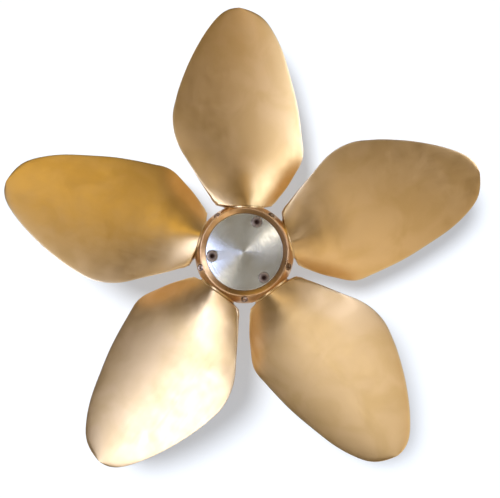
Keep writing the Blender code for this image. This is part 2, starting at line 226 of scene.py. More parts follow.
def lathe_rings(tree, spacing):
    """The point that is shaded, and noise that is the same all round the shaft axis."""
    point = add_node(tree, "TexCoord", {}).node.outputs["Object"]
    flat = add_node(tree, "VectorMath", {"operation": "MULTIPLY", 0: point, 1: (1, 1, 0)})
    radius = add_node(tree, "VectorMath", {"operation": "LENGTH", 0: flat})
    height = add_node(tree, "SeparateXYZ", {"Vector": point}).node.outputs["Z"]
    along = add_node(tree, "Math", {"operation": "ADD", 0: radius, 1: height})
    count = add_node(tree, "Math", {"operation": "DIVIDE", 0: along, 1: spacing})
    rings = add_node(tree, "TexNoise", {"noise_dimensions": "1D", "W": count, "Scale": 1.0, "Detail": 2.0})
    return point, rings


turned_bronze, tree, shader = new_metal("turned bronze", TURNED_BRIGHT, roughness=0.28)
point, rings = lathe_rings(tree, LATHE_RING)
marks = add_node(tree, "TexNoise", {"Vector": point, "Scale": 1 / HAND_MARK, "Detail": 4.0})
dull = add_node(tree, "MapRange", {"interpolation_type": "SMOOTHSTEP", "Value": marks,
                                   "From Min": 0.45, "From Max": 0.75, "To Max": 0.7})
colour = add_node(tree, "Mix", {"data_type": "RGBA", "Factor": dull,
                                "A": linear(TURNED_BRIGHT), "B": linear(TURNED_DULL)})
tree.links.new(colour, shader.inputs["Base Color"])
sheen = add_node(tree, "MapRange", {"Value": marks, "From Min": 0.3, "From Max": 0.7,
                                    "To Min": 0.24, "To Max": 0.40})
tree.links.new(sheen, shader.inputs["Roughness"])
grooves = add_node(tree, "Bump", {"Height": rings, "Strength": 0.6, "Distance": RING_DEPTH})
tree.links.new(grooves, shader.inputs["Normal"])
print(turned_bronze.name, "has", len(tree.nodes), "nodes")

# %% [markdown]
# The anode is a zinc disc that corrodes in place of the bronze. Its face was turned from the rim
# to the centre, and such grooves spread a reflection across themselves. That is the bright fan of
# a turned face, and the shader has it as anisotropy, with the tangent running round the axis. Real
# facing grooves are a few tenths of a millimetre apart, too fine to show, so they are drawn as waves
# 3.5 mm apart. Zinc oxidises to a mottled pale grey film. The film isn't a metal and scatters light,
# so in its blotches the metallic share falls and the reflection is more blurred.

# %% Face-turned zinc
ZINC_CLEAN = "#CAC7BD"
ZINC_OXIDE = "#B4B2AA"
OXIDE_BLOTCH = 16 * MM
FACING_RING = 3.5 * MM
FACING_DEPTH = 0.12 * MM
FAN_STRENGTH = 0.75
QUARTER_TURN = 0.25

turned_zinc, tree, shader = new_metal("face-turned zinc", ZINC_CLEAN, roughness=0.21)
shader.inputs["Anisotropic"].default_value = FAN_STRENGTH
shader.inputs["Anisotropic Rotation"].default_value = QUARTER_TURN
point, rings = lathe_rings(tree, FACING_RING)
blotch = add_node(tree, "TexNoise", {"Vector": point, "Scale": 1 / OXIDE_BLOTCH, "Detail": 3.0})
oxide = add_node(tree, "MapRange", {"interpolation_type": "SMOOTHSTEP", "Value": blotch,
                                    "From Min": 0.38, "From Max": 0.72, "To Max": 0.6})
colour = add_node(tree, "Mix", {"data_type": "RGBA", "Factor": oxide,
                                "A": linear(ZINC_CLEAN), "B": linear(ZINC_OXIDE)})
tree.links.new(colour, shader.inputs["Base Color"])
bare = add_node(tree, "MapRange", {"Value": blotch, "From Min": 0.3, "From Max": 0.7,
                                   "To Min": 0.88, "To Max": 0.78})
tree.links.new(bare, shader.inputs["Metallic"])
both = add_node(tree, "Math", {"operation": "ADD", 0: blotch, 1: rings})
sheen = add_node(tree, "MapRange", {"Value": both, "From Min": 0.7, "From Max": 1.3,
                                    "To Min": 0.175, "To Max": 0.24})
tree.links.new(sheen, shader.inputs["Roughness"])
grooves = add_node(tree, "Bump", {"Height": rings, "Strength": 0.5, "Distance": FACING_DEPTH})
tree.links.new(grooves, shader.inputs["Normal"])
tree.links.new(add_node(tree, "Tangent", {"direction_type": "RADIAL", "axis": "Z"}), shader.inputs["Tangent"])
print(turned_zinc.name, "has", len(tree.nodes), "nodes")

# %% [markdown]
# The screws and bolts are stainless steel that sea water has stained brown in patches. Round the
# sockets of the anode screws the middle of each head is darkened, partly by old grease and partly as
# painted shade of the socket. How much of that darkening is at a point is an attribute of the screw,
# which the screws' own cell fills in.

# %% Stained stainless steel
STEEL_CLEAN = "#B39C84"
# The dark colour of the real stains, also used as painted shade round the anode screw sockets.
STEEL_STAIN_AND_SHADE = "#38241A"
STAIN_PATCH = 3 * MM

stained_steel, tree, shader = new_metal("stained stainless steel", STEEL_CLEAN, roughness=0.35)
point = add_node(tree, "TexCoord", {}).node.outputs["Object"]
patch = add_node(tree, "TexNoise", {"Vector": point, "Scale": 1 / STAIN_PATCH, "Detail": 4.0})
spots = add_node(tree, "MapRange", {"interpolation_type": "SMOOTHSTEP", "Value": patch,
                                    "From Min": 0.40, "From Max": 0.65, "To Max": 0.6})
# Darkening round the anode screw sockets, read from an attribute: old grease and painted shade of the socket.
grease_and_painted_shade = add_node(tree, "Attribute", {"attribute_name": "grease_and_painted_shade"}).node.outputs["Fac"]
stain_and_shade = add_node(tree, "Math", {"operation": "MAXIMUM", 0: spots, 1: grease_and_painted_shade})
colour = add_node(tree, "Mix", {"data_type": "RGBA", "Factor": stain_and_shade,
                                "A": linear(STEEL_CLEAN), "B": linear(STEEL_STAIN_AND_SHADE)})
tree.links.new(colour, shader.inputs["Base Color"])
sheen = add_node(tree, "MapRange", {"Value": stain_and_shade, "To Min": 0.28, "To Max": 0.55})
tree.links.new(sheen, shader.inputs["Roughness"])
print(stained_steel.name, "has", len(tree.nodes), "nodes")

# %% [markdown]
# The bearing rings of the blade roots are a leaded bronze that runs in oil, which keeps it dark. The
# inner boss is bored and turned and never polished, so it is duller than the hub. Both need only
# the lathe rings, drawn coarse as on the hub, and some drift between two colours.

# %% Bearing bronze and bored bronze
def plain_turned(name, bright, dull_colour, ring, drift, low, high):
    """A turned metal with lathe rings and a slow drift between two colours."""
    material, tree, shader = new_metal(name, bright, roughness=low)
    point, rings = lathe_rings(tree, ring)
    patches = add_node(tree, "TexNoise", {"Vector": point, "Scale": 1 / drift, "Detail": 4.0})
    colour = add_node(tree, "Mix", {"data_type": "RGBA", "Factor": patches,
                                    "A": linear(bright), "B": linear(dull_colour)})
    tree.links.new(colour, shader.inputs["Base Color"])
    sheen = add_node(tree, "MapRange", {"Value": patches, "To Min": low, "To Max": high})
    tree.links.new(sheen, shader.inputs["Roughness"])
    grooves = add_node(tree, "Bump", {"Height": rings, "Strength": 0.6, "Distance": RING_DEPTH})
    tree.links.new(grooves, shader.inputs["Normal"])
    print(name, "has", len(tree.nodes), "nodes")
    return material


bearing_bronze = plain_turned("bearing bronze", bright="#9C7440", dull_colour="#5E4022",
                              ring=1.2 * MM, drift=6 * MM, low=0.35, high=0.5)
bored_bronze = plain_turned("bored bronze", bright="#CB9654", dull_colour="#8F5F30",
                            ring=1.8 * MM, drift=18 * MM, low=0.32, high=0.5)

# %% [markdown]
# Now the shapes. Most pieces are turned, so one helper spins a profile of radius and height about
# the shaft axis. Real turned corners are never sharp, so another one replaces a corner by a small
# arc, which starts off along one side, heads for the corner and bends away to the other side.

# %% Helpers for turned shapes
MERGE_DISTANCE = 0.005 * MM
FINE_SIDES = 144


def soften(corners, steps=4):
    """Replace each (radius, height, rounding) corner by the points of a small arc."""
    points = []
    for i, (radius, height, rounding) in enumerate(corners):
        corner = Vector((radius, height))
        towards = [Vector(corners[j % len(corners)][:2]) - corner for j in (i - 1, i + 1)]
        start, end = [corner + way.normalized() * rounding for way in towards]
        for step in range(steps + 1 if rounding else 1):
            t = step / steps
            points.append(start.lerp(corner, t).lerp(corner.lerp(end, t), t))
    return points


def spin_profile(profile, sides=FINE_SIDES, closed=False):
    """Spin (radius, height) points about the shaft axis. A closed profile makes a ring."""
    form = bmesh.new()
    verts = [form.verts.new((radius, 0, height)) for radius, height in profile]
    edges = [form.edges.new(pair) for pair in zip(verts, verts[1:])]
    if closed:
        edges.append(form.edges.new((verts[-1], verts[0])))
    bmesh.ops.spin(form, geom=verts + edges, cent=(0, 0, 0), axis=(0, 0, 1), angle=math.tau,
                   steps=sides, use_merge=True)
    bmesh.ops.remove_doubles(form, verts=form.verts, dist=MERGE_DISTANCE)
    bmesh.ops.recalc_face_normals(form, faces=form.faces)
    return form


# %% [markdown]
# A form is moved while it is still a bmesh, because a finished object sits at the origin with its
# place in its mesh. The last helper makes that object. It rides on a body of the frame, so that it
# turns with that body, it stands for one solid, and it takes that solid's finish. Faces that meet
# at more than 32 degrees keep a crisp edge between them, and all the others are shaded smooth.

# %% Helpers for finished pieces
SHARP_ANGLE = math.radians(32)


def moved(form, matrix):
    """Move a form by a matrix and hand it back."""
    bmesh.ops.transform(form, matrix=matrix, verts=form.verts)
    return form


def to_mesh(form, name):
    """Write a form into a new mesh and let the form go."""
    mesh = bpy.data.meshes.new(name)
    form.to_mesh(mesh)
    form.free()
    return mesh


def add_piece(name, form, material, body, node):
    """Make a finished piece that stands for one solid."""
    mesh = to_mesh(form, name)
    mesh.shade_smooth()
    mesh.set_sharp_from_angle(angle=SHARP_ANGLE)
    mesh.materials.append(material)
    piece = bpy.data.objects.new(name, mesh)
    bpy.context.scene.collection.objects.link(piece)
    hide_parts(node)
    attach(piece, body)
    print(f"{name}: {len(mesh.polygons)} faces")
    return piece


# %% [markdown]
# Sockets, screw holes and keyways are cut out. There is no bmesh operator that subtracts one form
# from another, so this helper gives a temporary object a Boolean modifier and reads the result
# back. All the cutters go into one mesh, which is one cut to work out and not ten.

# %% Helper for cuts
def cut_out(form, cutters):
    """Subtract closed forms that don't touch each other from a closed form."""
    tools = bmesh.new()
    for cutter in cutters:
        tools.from_mesh(to_mesh(cutter, "cutter"))
    parts = {"solid": form, "tools": tools}
    pair = [bpy.data.objects.new(name, to_mesh(part, name)) for name, part in parts.items()]
    for item in pair:
        bpy.context.scene.collection.objects.link(item)
    boolean = pair[0].modifiers.new("cut", "BOOLEAN")
    boolean.operation = "DIFFERENCE"
    boolean.object = pair[1]
    graph = bpy.context.evaluated_depsgraph_get()
    result = bmesh.new()
    result.from_mesh(pair[0].evaluated_get(graph).to_mesh())
    for item in pair:
        bpy.data.objects.remove(item, do_unlink=True)
    bmesh.ops.remove_doubles(result, verts=result.verts, dist=MERGE_DISTANCE)
    return result


# %% [markdown]
# The shape of a blade comes from its drawing: at a few distances out from the shaft, how far the
# leading and the trailing edge stand from the turning axis. A smooth curve runs through those
# points. The tip has to be round, and a curve that is steep at its end isn't easy to draw, so the
# curve is drawn over the square root of the distance that is left to the tip, which makes the end
# round by itself.

# %% The blade's outline
# Millimetres out from the shaft axis, then to the leading and to the trailing edge.
BLADE_EDGES = [
    (75.3, 36, 36), (76.3, 42.5, 42.5), (79.5, 47.5, 47.5), (92, 59.5, 57), (106, 71, 67), (133, 88.5, 84.5),
    (146, 96.5, 93), (158, 101.5, 101), (171, 103, 108), (185, 101.5, 113), (212, 98.5, 116.5),
    (245, 93.5, 110.5), (292, 81.5, 94.5), (332, 69, 75.5), (363, 53.5, 56.5), (388, 32, 35),
]
TIP_OFFSET = 7
LEADING, TRAILING = 1, 2


def slope_at(points, i):
    """The slope at one point of a smooth curve, from the chords on both sides of it."""
    chords = [points[j:j + 2] for j in (max(i - 1, 0), min(i, len(points) - 2))]
    (width_before, before), (width_after, after) = [
        (x1 - x0, (y1 - y0) / (x1 - x0)) for (x0, y0), (x1, y1) in chords]
    return (before * width_after + after * width_before) / (width_before + width_after)


def smooth_value(points, x):
    """Read a smooth curve through points of rising x, by cubic Hermite pieces."""
    x = min(max(x, points[0][0]), points[-1][0])
    i = max(j for j in range(len(points) - 1) if points[j][0] <= x)
    (x0, y0), (x1, y1) = points[i:i + 2]
    width = x1 - x0
    t = (x - x0) / width
    rise = (1 + 2 * t) * (1 - t) ** 2 * y0 + t * t * (3 - 2 * t) * y1
    return rise + width * (t * (1 - t) ** 2 * slope_at(points, i) + t * t * (t - 1) * slope_at(points, i + 1))


def edge_offset(distance, side):
    """How far an edge stands from the turning axis at a distance out, all in millimetres."""
    tip = TIP_DISTANCE / MM
    points = [(-math.sqrt(tip - row[0]), row[side]) for row in BLADE_EDGES]
    points.append((0, TIP_OFFSET if side == TRAILING else -TIP_OFFSET))
    return smooth_value(points, -math.sqrt(tip - distance))


chord = max(edge_offset(row[0], LEADING) + edge_offset(row[0], TRAILING) for row in BLADE_EDGES)
print(f"the widest chord is {chord:.0f} mm")

# %% [markdown]
# A section across the blade is a thin lens with rounded edges, the same on both faces, because
# the blade works ahead and astern. Towards the hub a ridge rises along its middle, with a rounded
# crest and two flat flanks that end in blunt heels, because all the thrust goes through the root.
# Each section mixes the two shapes, and the share of the flat blade grows smoothly outward.

# %% The blade's sections
# The flat blade: millimetres out, then its thickness. The ridge: millimetres out, then half its
# height, the slope of its flanks and the rounding of its crest.
BLADE_THICKNESS = [(75, 20), (110, 19), (160, 16), (220, 12.5), (280, 9.5), (340, 7), (385, 5), (399, 4)]
EDGE_HALF = 1.5
ROOT_RIDGE = [(75, 23, 0.43, 8), (82, 21.2, 0.375, 8.5), (90, 19, 0.32, 10.5), (100, 16.4, 0.265, 14),
              (112, 14, 0.215, 17), (126, 11.6, 0.175, 28), (142, 10.5, 0.16, 40), (175, 9, 0.16, 60)]
RIDGE_FADE = (125, 178)
EDGE_BLUNTNESS = 8
WEAR_WIDTH = 3.5


def flat_share(distance):
    """How far the ridged root has given way to the flat blade, from 0 to 1."""
    start, end = RIDGE_FADE
    t = min(max((distance - start) / (end - start), 0), 1)
    return t * t * (3 - 2 * t)


def blade_point(distance, angle):
    """One point of a section: how far across and through it is, and how worn its edge is."""
    leading, trailing = edge_offset(distance, LEADING), edge_offset(distance, TRAILING)
    half_chord = (leading + trailing) / 2
    across = (trailing - leading) / 2 + half_chord * math.cos(angle)
    rise = abs(math.sin(angle))
    half_thickness = smooth_value(BLADE_THICKNESS, distance) / 2
    plate = (half_thickness - EDGE_HALF) * rise ** 2 + EDGE_HALF * rise
    columns = [[(row[0], row[i]) for row in ROOT_RIDGE] for i in (1, 2, 3)]
    height, slope, rounding = [smooth_value(column, distance) for column in columns]
    ridge = max(height - slope * (math.hypot(across, rounding) - rounding), EDGE_HALF)
    ridge *= (1 - abs(math.cos(angle)) ** EDGE_BLUNTNESS) ** (1 / EDGE_BLUNTNESS)
    share = flat_share(distance)
    through = share * plate + (1 - share) * ridge
    wear = max(0, 1 - half_chord * (1 - abs(math.cos(angle))) / WEAR_WIDTH)
    return across, math.copysign(through, math.sin(angle)), wear


print("half thickness at the root and near the tip:",
      [round(blade_point(distance, math.pi / 2)[1], 1) for distance in (80, 380)])

# %% [markdown]
# The blade is lofted by extruding. A circle of points is laid at the inner end of the root, and
# its edge ring is extruded outward station by station. Each point remembers its angle round the
# ring, so it can be placed on the next section without keeping lists of neighbours. The last ring
# is merged into the tip, and the inner end gets a cap.

# %% Loft the blade
BLADE_SIDES = 112
ROOT_STEPS = 26
BLADE_STEPS = 110
ROOT_END = 104
ROOT_CROWDING = 1.6
# The turned root inside the hub: millimetres out, then its radius.
TURNED_ROOT = [(44, 26.5), (44.5, 27), (55, 27), (55, 36.5), (55.5, 37), (60, 37), (60.5, 36.5),
               (60.5, 32), (73.4, 32), (74, 31.6)]


def blade_stations():
    """Distances out from the shaft axis, close together at the root and at the tip."""
    start, tip = BLADE_EDGES[0][0], TIP_DISTANCE / MM
    root = [start + (ROOT_END - start) * (step / ROOT_STEPS) ** ROOT_CROWDING for step in range(ROOT_STEPS)]
    left = math.sqrt(tip - ROOT_END)
    return root + [tip - (left * (1 - step / BLADE_STEPS)) ** 2 for step in range(BLADE_STEPS)]


def loft_blade():
    """The blade in its own frame: X outward, Y to the trailing edge, Z through it."""
    form = bmesh.new()
    angle_of = form.verts.layers.float.new("angle")
    wear_of = form.verts.layers.float.new("edge_wear")
    ring = bmesh.ops.create_circle(form, segments=BLADE_SIDES, radius=1)["verts"]
    for vert in ring:
        vert[angle_of] = math.atan2(vert.co.y, vert.co.x)
    stations = [(along, lambda angle, r=radius: (r * math.cos(angle), r * math.sin(angle), 0))
                for along, radius in TURNED_ROOT]
    stations += [(along, lambda angle, d=along: blade_point(d, angle)) for along in blade_stations()]
    for number, (along, section) in enumerate(stations):
        if number:
            edges = [edge for edge in form.edges if edge.verts[0] in ring and edge.verts[1] in ring]
            grown = bmesh.ops.extrude_edge_only(form, edges=edges)["geom"]
            ring = [item for item in grown if isinstance(item, bmesh.types.BMVert)]
        for vert in ring:
            across, through, vert[wear_of] = section(vert[angle_of])
            vert.co = Vector((along, across, through)) * MM
    bmesh.ops.pointmerge(form, verts=ring, merge_co=Vector((TIP_DISTANCE, TIP_OFFSET * MM, 0)))
    bmesh.ops.holes_fill(form, edges=[edge for edge in form.edges if edge.is_boundary])
    bmesh.ops.recalc_face_normals(form, faces=form.faces)
    form.verts.layers.float.remove(form.verts.layers.float["angle"])
    return form


blade_form = loft_blade()
print("blade volume", round(blade_form.calc_volume() * 1e6), "cubic centimetres")

# %% [markdown]
# The five blades share that form. Each copy keeps its own frame in the blade_place attribute, with
# the copies a metre apart in it, so that no two blades have the same clouds of tarnish. Then the
# copy is set at its pitch, turned to its place round the hub and lifted to the blade plane.

# %% Five blades
COPY_DISTANCE = 1
lift = Matrix.Translation((0, 0, BLADE_PLANE))

for number in range(BLADE_COUNT):
    form = blade_form.copy()
    place_of = form.verts.layers.float_vector.new("blade_place")
    for vert in form.verts:
        vert[place_of] = vert.co + Vector((0, 0, number * COPY_DISTANCE))
    moved(form, lift @ Matrix.Rotation(blade_azimuth(number), 4, "Z") @ Matrix.Rotation(AHEAD_PITCH, 4, "X"))
    node = f"blade_{number + 1}"
    add_piece("fine_" + node, form, satin_bronze, node, node)
blade_form.free()

# %% [markdown]
# The hub is a ball round the blade roots, and each root turns in a stepped bore. A cylinder whose
# axis goes through the middle of a ball meets it in a circle, so a small flare at the mouth of the
# bore gives an even chamfer all round. The cutter for a bore is a turned shape too: it is spun about
# the shaft axis and then laid along its blade's axis.

# %% Cutters for the blade sockets
BALL_RADIUS = 79 * MM
PALM_RADIUS, FLANGE_RADIUS, PILOT_RADIUS = 32 * MM, 37 * MM, 27 * MM
PILOT_START, FLANGE_START, FLANGE_END = 44 * MM, 55 * MM, 60.5 * MM
BUSH_WALL = 2.2 * MM
MOUTH_CHAMFER = 0.7 * MM
MOUTH_FLARE = 6 * MOUTH_CHAMFER
SOCKET_RADIUS = PALM_RADIUS + TURNING_GAP + BUSH_WALL + SEAT_GAP
CUTTER_SIDES = 72


def outward(number):
    """The matrix that lays a form spun about Z along one blade's turning axis."""
    return (lift @ Matrix.Rotation(blade_azimuth(number), 4, "Z")
            @ Matrix.Rotation(math.radians(90), 4, "Y"))


def socket_cutter(number):
    """The stepped bore for one blade's root and its bearing ring."""
    flange = FLANGE_RADIUS + TURNING_GAP
    pilot = PILOT_RADIUS + TURNING_GAP
    rim = math.sqrt(BALL_RADIUS ** 2 - SOCKET_RADIUS ** 2)
    profile = [(0, BALL_RADIUS + OVERSHOOT), (SOCKET_RADIUS + MOUTH_FLARE, BALL_RADIUS + OVERSHOOT),
               (SOCKET_RADIUS, rim - MOUTH_CHAMFER), (SOCKET_RADIUS, FLANGE_END + SEAT_GAP),
               (flange, FLANGE_END + SEAT_GAP),
               (flange, FLANGE_START - SEAT_GAP), (pilot, FLANGE_START - SEAT_GAP),
               (pilot, PILOT_START - TURNING_GAP), (0, PILOT_START - TURNING_GAP)]
    return moved(spin_profile(profile, CUTTER_SIDES), outward(number))


print(f"the sockets are {2 * SOCKET_RADIUS / MM:.1f} mm wide")

# %% [markdown]
# The bolts that clamp the two halves stand between the blades, each in a pocket that is open to the
# outside. A pocket is a hole that comes so near the edge that it breaks through it. Its cutter runs
# on up past the aft cap, because the pockets cut a little into the rim of the cap as well.

# %% Cutters for the bolts
BOLT_CIRCLE = 71.5 * MM
BOLT_RADIUS = 3 * MM
BOLT_SEAT = 14 * MM
BOLT_LENGTH = 36 * MM
BOLT_POCKET_RADIUS = 5.6 * MM
CAP_TOP = 70 * MM


def on_circle(circle, azimuth):
    """The matrix that stands a form spun about Z on a circle round the shaft axis."""
    return (Matrix.Translation((circle * math.cos(azimuth), circle * math.sin(azimuth), BLADE_PLANE))
            @ Matrix.Rotation(azimuth, 4, "Z"))


def bolt_cutter(number):
    """The pocket, the seat and the blind hole of one bolt."""
    hole = BOLT_RADIUS + SEAT_GAP
    end = BOLT_SEAT - BOLT_LENGTH - TURNING_GAP
    profile = [(0, CAP_TOP + OVERSHOOT), (BOLT_POCKET_RADIUS, CAP_TOP + OVERSHOOT),
               (BOLT_POCKET_RADIUS, BOLT_SEAT), (hole, BOLT_SEAT), (hole, end), (0, end)]
    return moved(spin_profile(profile, CUTTER_SIDES // 2), on_circle(BOLT_CIRCLE, gap_azimuth(number)))


print(f"{BLADE_COUNT} bolts on a circle of {2 * BOLT_CIRCLE / MM:.0f} mm")

# %% [markdown]
# The hub is split through the blade axes so that the roots can be laid in. Each half is turned: the
# ball, then a neck on the aft half, and a longer taper on the forward one. The ball is drawn with
# points at even angles, since a profile that is spun has straight sides between its points. The
# split is a real gap, a few tenths of a millimetre wide, and shows as a fine dark line.

# %% Hub halves
NECK_RADIUS = 68 * MM
FORWARD_FACE_RADIUS = 56 * MM
HUB_BORE_RADIUS = 40.3 * MM
AFT_HALF_TOP = 50 * MM
SPLIT_CHAMFER = 0.4 * MM
AFT_BORE_EDGE = 0.5 * MM
HUB_EDGE = 1 * MM
FORWARD_EDGE = 2.2 * MM
BALL_STEPS = 16


def ball_points(sign, first):
    """The ball of the hub, from near the split to where the neck begins."""
    end = math.acos(NECK_RADIUS / BALL_RADIUS)
    angles = [first + (end - first) * step / BALL_STEPS for step in range(BALL_STEPS + 1)]
    return [(BALL_RADIUS * math.cos(a), sign * BALL_RADIUS * math.sin(a), 0) for a in angles]


def hub_half(name, corners):
    """Turn one half of the hub, and bore it for the blades and the bolts."""
    form = moved(spin_profile(soften(corners), closed=True), lift)
    numbers = range(BLADE_COUNT)
    form = cut_out(form, [socket_cutter(n) for n in numbers] + [bolt_cutter(n) for n in numbers])
    add_piece("fine_" + name, form, turned_bronze, "hub", name)


split = SEAT_GAP / 2
first_angle = math.asin(2 * SEAT_GAP / BALL_RADIUS)
hub_half("hub_aft_half",
         [(HUB_BORE_RADIUS, AFT_HALF_TOP, AFT_BORE_EDGE), (NECK_RADIUS, AFT_HALF_TOP, HUB_EDGE)]
         + ball_points(1, first_angle)[::-1]
         + [(BALL_RADIUS - SPLIT_CHAMFER, split, 0), (HUB_BORE_RADIUS, split, 0)])
hub_half("hub_forward_half",
         [(HUB_BORE_RADIUS, -split, 0), (BALL_RADIUS - SPLIT_CHAMFER, -split, 0)]
         + ball_points(-1, first_angle)
         + [(FORWARD_FACE_RADIUS, -BLADE_PLANE, FORWARD_EDGE), (HUB_BORE_RADIUS, -BLADE_PLANE, HUB_EDGE)])

# %% [markdown]
# Each root turns in a bearing ring that ends flush with the mouth of its bore. It is a plain ring,
# spun like the hub, with its two outer edges broken, and laid along the blade's axis.

# %% Root bushes
BUSH_START, BUSH_END = 61 * MM, 70.6 * MM
BUSH_EDGE = 0.3 * MM


def add_root_bush(number):
    """The bearing ring round one blade's palm."""
    inner = PALM_RADIUS + TURNING_GAP
    outer = inner + BUSH_WALL
    corners = [(inner, BUSH_END, BUSH_EDGE), (outer, BUSH_END, BUSH_EDGE),
               (outer, BUSH_START, 0), (inner, BUSH_START, 0)]
    form = moved(spin_profile(soften(corners), CUTTER_SIDES, closed=True), outward(number))
    node = f"root_bush_{number + 1}"
    add_piece("fine_" + node, form, bearing_bronze, "hub", node)


print(f"the rings are {(BUSH_END - BUSH_START) / MM:.1f} mm long")

# %% [markdown]
# Each pocket holds a socket head bolt. Its socket is a six-sided hole with a shallow cone at the
# bottom, as the drill leaves it. Spinning a profile in only six steps gives that shape at once. The
# rings and the bolts are then made together, blade by blade.

# %% Hub bolts
BOLT_HEAD_RADIUS = 5 * MM
BOLT_HEAD_HEIGHT = 6 * MM
BOLT_HEAD_EDGE = 0.6 * MM
BOLT_SEAT_EDGE = 0.2 * MM
BOLT_END_EDGE = 0.4 * MM
BOLT_KEY, BOLT_KEY_DEPTH = 5 * MM, 3.5 * MM
BOLT_SIDES = 36
HEX_SIDES = 6


def hex_key(across_flats, top, depth):
    """A cutter for a hexagon socket, with the drill's cone below it."""
    radius = across_flats / math.sqrt(3)
    cone = radius / 2
    return spin_profile([(0, top + OVERSHOOT), (radius, top + OVERSHOOT), (radius, top - depth),
                         (0, top - depth - cone)], HEX_SIDES)


def add_hub_bolt(number):
    """The bolt in the gap before one blade."""
    head = BOLT_SEAT + SEAT_GAP
    top = head + BOLT_HEAD_HEIGHT
    end = BOLT_SEAT - BOLT_LENGTH
    corners = [(0, top, 0), (BOLT_HEAD_RADIUS, top, BOLT_HEAD_EDGE), (BOLT_HEAD_RADIUS, head, BOLT_SEAT_EDGE),
               (BOLT_RADIUS, head, 0), (BOLT_RADIUS, end, BOLT_END_EDGE), (0, end, 0)]
    form = cut_out(spin_profile(soften(corners), BOLT_SIDES), [hex_key(BOLT_KEY, top, BOLT_KEY_DEPTH)])
    moved(form, on_circle(BOLT_CIRCLE, gap_azimuth(number)))
    node = f"hub_bolt_{number + 1}"
    add_piece("fine_" + node, form, stained_steel, "hub", node)


for number in range(BLADE_COUNT):
    add_root_bush(number)
    add_hub_bolt(number)

# %% [markdown]
# Three screws go through the anode and into the aft cap, so both pieces are drilled with the same
# cutters. Each hole starts at the anode's face, which falls evenly from a raised middle to its
# edge, and one function gives the height of that face.

# %% Cutters for the anode screws
ANODE_RADIUS = 58.2 * MM
ANODE_EDGE_TOP = 65.6 * MM
ANODE_BOSS_TOP = 66.4 * MM
ANODE_BOSS_RADIUS = 13 * MM
SCREW_COUNT = 3
SCREW_CIRCLE = 49 * MM
FIRST_SCREW_AZIMUTH = 67
SCREW_RADIUS = 4 * MM
SCREW_HEAD_RADIUS = 7.6 * MM
SCREW_HEAD_HEIGHT = 4.4 * MM
SCREW_SUNK = 1.2 * MM
SCREW_TIP = 51.5 * MM


def screw_azimuth(number):
    """The direction of one anode screw, seen from aft."""
    return math.radians(FIRST_SCREW_AZIMUTH + number * 360 / SCREW_COUNT)


def anode_top(radius):
    """Height of the anode's face, from its raised middle out to its edge."""
    slope = (ANODE_EDGE_TOP - ANODE_BOSS_TOP) / (ANODE_RADIUS - ANODE_BOSS_RADIUS)
    return ANODE_BOSS_TOP + slope * (radius - ANODE_BOSS_RADIUS)


def screw_cutter(number):
    """A clearance hole with a countersink, down to a blind end in the cap."""
    face = anode_top(SCREW_CIRCLE)
    seat = face - SCREW_SUNK
    profile = [(0, face + OVERSHOOT), (SCREW_HEAD_RADIUS + SEAT_GAP + OVERSHOOT, face + OVERSHOOT),
               (SCREW_HEAD_RADIUS + SEAT_GAP, seat), (SCREW_RADIUS + SEAT_GAP, seat - SCREW_HEAD_HEIGHT),
               (SCREW_RADIUS + SEAT_GAP, SCREW_TIP - SEAT_GAP), (0, SCREW_TIP - SEAT_GAP)]
    return moved(spin_profile(profile, CUTTER_SIDES // 2), on_circle(SCREW_CIRCLE, screw_azimuth(number)))


print(f"{SCREW_COUNT} screws on a circle of {2 * SCREW_CIRCLE / MM:.0f} mm")

# %% [markdown]
# The aft cap closes the hub. From outside to inside its rim has a rounded edge, a narrow flat and a
# cone that slopes down to the anode. The cone is what shows as a dark band on the side away from
# the light.

# %% Aft cap
CAP_RADIUS = 67.4 * MM
CAP_CREST_RADIUS = 65 * MM
CAP_OUTER_EDGE = 2 * MM
CAP_INNER_EDGE = 0.3 * MM
CAP_LOWER_EDGE = 0.8 * MM
CAP_EDGE_STEPS = 6
RECESS_FLOOR = 57 * MM
RECESS_RADIUS = 58.6 * MM
RECESS_LIP = 4.4 * MM
DISC_SIDES = 192

bottom = AFT_HALF_TOP + SEAT_GAP
corners = [(0, RECESS_FLOOR, 0), (RECESS_RADIUS, RECESS_FLOOR, 0),
           (RECESS_RADIUS, CAP_TOP - RECESS_LIP, CAP_INNER_EDGE), (CAP_CREST_RADIUS, CAP_TOP, CAP_INNER_EDGE),
           (CAP_RADIUS, CAP_TOP, CAP_OUTER_EDGE), (CAP_RADIUS, bottom, CAP_LOWER_EDGE), (0, bottom, 0)]
form = moved(spin_profile(soften(corners, CAP_EDGE_STEPS), DISC_SIDES), lift)
holes = [screw_cutter(n) for n in range(SCREW_COUNT)] + [bolt_cutter(n) for n in range(BLADE_COUNT)]
form = cut_out(form, holes)
add_piece("fine_aft_cap", form, turned_bronze, "hub", "aft_cap")

# %% [markdown]
# The anode lies in the recess of the cap. Its face falls from a small flat in the middle, first a
# little steeper and then very gently, and a wide rounding joins the two slopes.

# %% Anode
ANODE_CENTRE_TOP = 66.8 * MM
ANODE_CENTRE_RADIUS = 1.5 * MM
ANODE_BOSS_EDGE = 6 * MM
ANODE_EDGE = 1 * MM

bottom = RECESS_FLOOR + SEAT_GAP
corners = [(0, ANODE_CENTRE_TOP, 0), (ANODE_CENTRE_RADIUS, ANODE_CENTRE_TOP, 0),
           (ANODE_BOSS_RADIUS, ANODE_BOSS_TOP, ANODE_BOSS_EDGE), (ANODE_RADIUS, ANODE_EDGE_TOP, ANODE_EDGE),
           (ANODE_RADIUS, bottom, 0), (0, bottom, 0)]
form = moved(spin_profile(soften(corners), DISC_SIDES), lift)
form = cut_out(form, [screw_cutter(n) for n in range(SCREW_COUNT)])
add_piece("fine_anode", form, turned_zinc, "hub", "anode")
